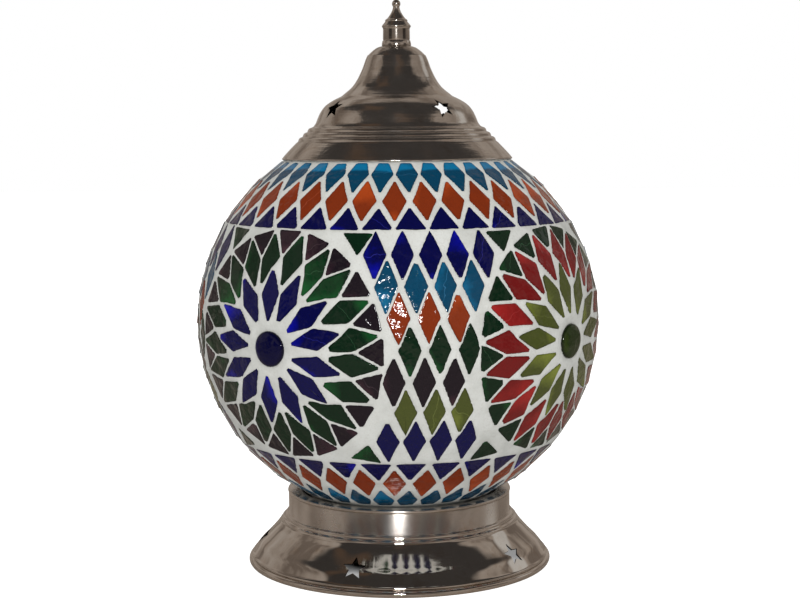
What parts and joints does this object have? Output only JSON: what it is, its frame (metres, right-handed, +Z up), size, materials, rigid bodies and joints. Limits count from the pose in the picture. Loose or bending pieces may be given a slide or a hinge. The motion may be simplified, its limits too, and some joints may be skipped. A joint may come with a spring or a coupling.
{
  "type": "mosaic table lamp",
  "caption": "Table lamp with a round cut-glass mosaic globe on a flared metal foot, a domed metal cap with a finial, and a screw-in bulb on an inner lampholder.",
  "frame": {"origin": "centre of the foot, on the table", "axes": "+Z up along the lamp's axis, -Y towards the front, with the cable inlet at +Y"},
  "size_m": [0.2508, 0.2508, 0.3519],
  "materials": {
    "foot_shell": "spun brass sheet, nickel plated and polished",
    "cable_grommet": "moulded bush",
    "seat_plate": "pressed zinc-plated plate",
    "seat_gasket": "black rubber ring",
    "threaded_nipple": "turned tube",
    "lower_lock_nut": "hex nut",
    "upper_lock_nut": "hex nut",
    "nipple_washers": "zinc-plated washers",
    "earth_screw": "slotted screw and nut",
    "lampholder_body": "black moulded phenolic",
    "lampholder_shell": "black moulded phenolic",
    "lampholder_thread": "thin rolled sleeve",
    "lampholder_contact": "sprung tongue",
    "terminal_screws": "slotted screws",
    "bulb_contact": "soldered centre contact",
    "bulb_insulator": "black glass",
    "bulb_screw_cap": "rolled thread, bright",
    "bulb_envelope": "clear blown glass",
    "bulb_stem": "clear pressed glass",
    "bulb_filaments": "yellow coated filament rods",
    "globe_glass": "clear blown glass",
    "grout_bed": "white plaster grout",
    "top_turquoise_tiles": "cut stained glass, glossy",
    "top_orange_tiles": "cut stained glass, glossy",
    "top_navy_tiles": "cut stained glass, glossy",
    "bottom_navy_tiles": "cut stained glass, glossy",
    "bottom_orange_tiles": "cut stained glass, glossy",
    "bottom_turquoise_tiles": "cut stained glass, glossy",
    "lattice_navy_tiles": "cut stained glass, glossy",
    "lattice_turquoise_tiles": "cut stained glass, glossy",
    "lattice_orange_tiles": "cut stained glass, glossy",
    "lattice_green_tiles": "cut stained glass, glossy",
    "lattice_purple_tiles": "cut stained glass, glossy",
    "lattice_olive_tiles": "cut stained glass, glossy",
    "corner_tiles": "cut stained glass, glossy",
    "front_left_cabochon": "domed stained glass, glossy",
    "front_left_petals": "cut stained glass, glossy",
    "front_left_ring": "cut stained glass, glossy",
    "front_left_border": "cut stained glass, glossy",
    "front_right_cabochon": "domed stained glass, glossy",
    "front_right_petals": "cut stained glass, glossy",
    "front_right_ring": "cut stained glass, glossy",
    "front_right_border": "cut stained glass, glossy",
    "back_right_cabochon": "domed stained glass, glossy",
    "back_right_petals": "cut stained glass, glossy",
    "back_right_ring": "cut stained glass, glossy",
    "back_right_border": "cut stained glass, glossy",
    "back_left_cabochon": "domed stained glass, glossy",
    "back_left_petals": "cut stained glass, glossy",
    "back_left_ring": "cut stained glass, glossy",
    "back_left_border": "cut stained glass, glossy",
    "cap_shell": "spun brass sheet, nickel plated and polished",
    "cap_locating_ring": "plain sheet ring",
    "finial": "turned brass, nickel plated",
    "finial_stud": "threaded stud",
    "finial_washer": "plain washer",
    "finial_nut": "hex nut"
  },
  "bodies": {
    "base": {"foot_shell": "foot_shell", "cable_grommet": "cable_grommet", "seat_plate": "seat_plate", "seat_gasket": "seat_gasket", "threaded_nipple": "threaded_nipple", "lower_lock_nut": "lower_lock_nut", "upper_lock_nut": "upper_lock_nut", "nipple_washers": "nipple_washers", "earth_screw": "earth_screw", "lampholder_body": "lampholder_body", "lampholder_shell": "lampholder_shell", "lampholder_thread": "lampholder_thread", "lampholder_contact": "lampholder_contact", "terminal_screws": "terminal_screws"},
    "bulb_carrier": {"bulb_contact": "bulb_contact"},
    "bulb": {"bulb_insulator": "bulb_insulator", "bulb_screw_cap": "bulb_screw_cap", "bulb_envelope": "bulb_envelope", "bulb_stem": "bulb_stem", "bulb_filaments": "bulb_filaments"},
    "globe": {"globe_glass": "globe_glass", "grout_bed": "grout_bed", "top_turquoise_tiles": "top_turquoise_tiles", "top_orange_tiles": "top_orange_tiles", "top_navy_tiles": "top_navy_tiles", "bottom_navy_tiles": "bottom_navy_tiles", "bottom_orange_tiles": "bottom_orange_tiles", "bottom_turquoise_tiles": "bottom_turquoise_tiles", "lattice_navy_tiles": "lattice_navy_tiles", "lattice_turquoise_tiles": "lattice_turquoise_tiles", "lattice_orange_tiles": "lattice_orange_tiles", "lattice_green_tiles": "lattice_green_tiles", "lattice_purple_tiles": "lattice_purple_tiles", "lattice_olive_tiles": "lattice_olive_tiles", "corner_tiles": "corner_tiles", "front_left_cabochon": "front_left_cabochon", "front_left_petals": "front_left_petals", "front_left_ring": "front_left_ring", "front_left_border": "front_left_border", "front_right_cabochon": "front_right_cabochon", "front_right_petals": "front_right_petals", "front_right_ring": "front_right_ring", "front_right_border": "front_right_border", "back_right_cabochon": "back_right_cabochon", "back_right_petals": "back_right_petals", "back_right_ring": "back_right_ring", "back_right_border": "back_right_border", "back_left_cabochon": "back_left_cabochon", "back_left_petals": "back_left_petals", "back_left_ring": "back_left_ring", "back_left_border": "back_left_border"},
    "cap": {"cap_shell": "cap_shell", "cap_locating_ring": "cap_locating_ring", "finial": "finial", "finial_stud": "finial_stud", "finial_washer": "finial_washer", "finial_nut": "finial_nut"}
  },
  "joints": [
    {"name": "globe_lift", "type": "slide", "parent": "base", "child": "globe", "axis": [0, 0, 1], "range_m": [0, 0.14]},
    {"name": "cap_lift", "type": "slide", "parent": "globe", "child": "cap", "axis": [0, 0, 1], "range_m": [0, 0.06]},
    {"name": "bulb_rise", "type": "slide", "parent": "base", "child": "bulb_carrier", "axis": [0, 0, 1], "range_m": [0, 0.0182]},
    {"name": "bulb_turn", "type": "hinge", "parent": "bulb_carrier", "child": "bulb", "pos_m": [0, 0, 0.08], "axis": [0, 0, 1], "range_deg": [0, 1800]}
  ],
  "couplings": [
    {"joint": "bulb_rise", "follows": "bulb_turn", "m_per_rad": 0.00057757}
  ]
}
